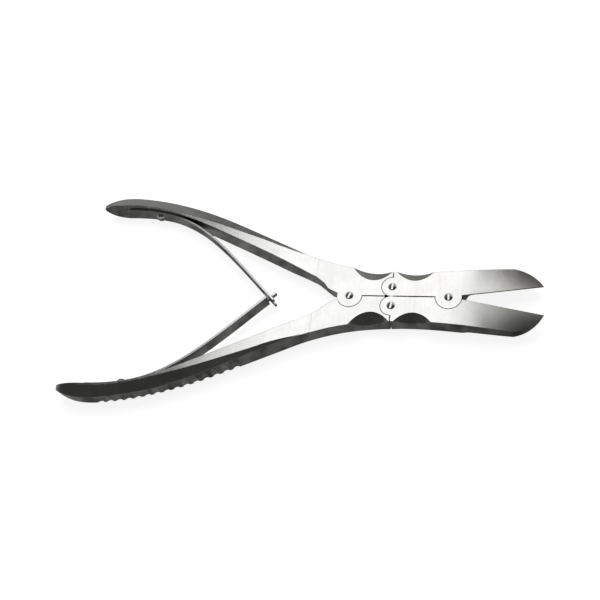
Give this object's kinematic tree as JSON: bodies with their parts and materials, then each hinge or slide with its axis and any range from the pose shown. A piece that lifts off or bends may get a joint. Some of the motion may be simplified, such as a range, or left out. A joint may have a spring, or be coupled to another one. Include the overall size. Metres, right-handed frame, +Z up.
{
  "type": "bone cutting forceps",
  "caption": "Double-action bone cutting forceps in satin steel, handles held open by crossed leaf springs.",
  "frame": {"origin": "on the table under the middle of the whole tool's bounding box", "axes": "+X along the midline to the blade tips, +Y to the upper handle, +Z up out of the flat faces"},
  "size_m": [0.2408, 0.1214, 0.0114],
  "materials": {
    "forged_steel": "satin",
    "spring_steel": "satin",
    "screw_steel": "satin"
  },
  "bodies": {
    "lower_handle": {"lower_handle": "forged_steel", "rear_pivot_screw": "screw_steel", "lower_link_screw": "screw_steel", "lower_spring_screw": "screw_steel"},
    "upper_handle": {"upper_handle": "forged_steel", "upper_link_screw": "screw_steel", "upper_spring_screw": "screw_steel"},
    "lower_jaw": {"lower_jaw": "forged_steel", "front_pivot_screw": "screw_steel"},
    "upper_jaw": {"upper_jaw": "forged_steel"},
    "lower_spring": {"lower_spring": "spring_steel"},
    "upper_spring": {"upper_spring": "spring_steel"}
  },
  "joints": [
    {"name": "handle_pivot", "type": "hinge", "parent": "lower_handle", "child": "upper_handle", "pos_m": [0.02655, 0, 0.0057], "axis": [0, 0, 1], "range_deg": [0, 26], "stiffness_Nm_per_rad": 1, "springref_deg": -28.65},
    {"name": "lower_jaw_pivot", "type": "hinge", "parent": "lower_handle", "child": "lower_jaw", "pos_m": [0.04772, -0.00532, 0.0057], "axis": [0, 0, 1], "range_deg": [0, 22.83]},
    {"name": "upper_jaw_pivot", "type": "hinge", "parent": "upper_handle", "child": "upper_jaw", "pos_m": [0.04772, 0.00532, 0.0057], "axis": [0, 0, 1], "range_deg": [-22.83, 0]},
    {"name": "lower_spring_bend", "type": "hinge", "parent": "lower_handle", "child": "lower_spring", "pos_m": [-0.06145, -0.042, 0.0057], "axis": [0, 0, 1], "range_deg": [-9.67, 0], "deforming": ["lower_spring"]},
    {"name": "upper_spring_bend", "type": "hinge", "parent": "upper_handle", "child": "upper_spring", "pos_m": [-0.06145, 0.042, 0.0057], "axis": [0, 0, 1], "range_deg": [0, 9.67], "deforming": ["upper_spring"]}
  ],
  "couplings": [
    {"joint": "lower_jaw_pivot", "follows": "handle_pivot", "ratio": 0.87413},
    {"joint": "upper_jaw_pivot", "follows": "handle_pivot", "ratio": -0.87413},
    {"joint": "lower_spring_bend", "follows": "handle_pivot", "ratio": -0.36795},
    {"joint": "upper_spring_bend", "follows": "handle_pivot", "ratio": 0.36795}
  ]
}
